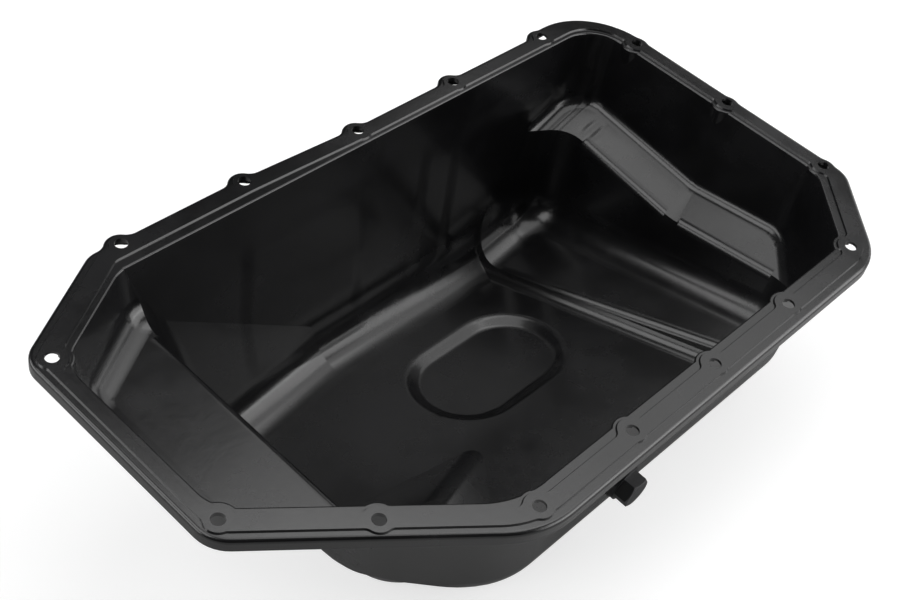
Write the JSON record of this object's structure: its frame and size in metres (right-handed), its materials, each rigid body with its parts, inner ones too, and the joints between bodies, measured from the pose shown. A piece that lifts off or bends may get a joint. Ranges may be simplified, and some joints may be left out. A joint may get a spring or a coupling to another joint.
{
  "type": "engine oil pan",
  "caption": "Pressed steel engine oil pan with a bolted bead rim, a shallow shelf, a deep sloping sump and a hex drain plug.",
  "frame": {"origin": "on the sealing plane, at the middle of the rim", "axes": "+Z normal to the sealing plane, up into the engine; +X along the crankshaft from the shallow shelf to the deep end; +Y to the side where the sump is deepest"},
  "size_m": [0.4588, 0.2631, 0.1467],
  "materials": {
    "pan_coat": "black satin electro-coat",
    "boss_coat": "black satin electro-coat",
    "plug_zinc": "black coated steel",
    "washer_metal": "dull crushed aluminium"
  },
  "bodies": {
    "root": {"oil_pan": "pan_coat", "drain_boss": "boss_coat", "drain_plug": "plug_zinc", "sealing_washer": "washer_metal"}
  },
  "joints": []
}
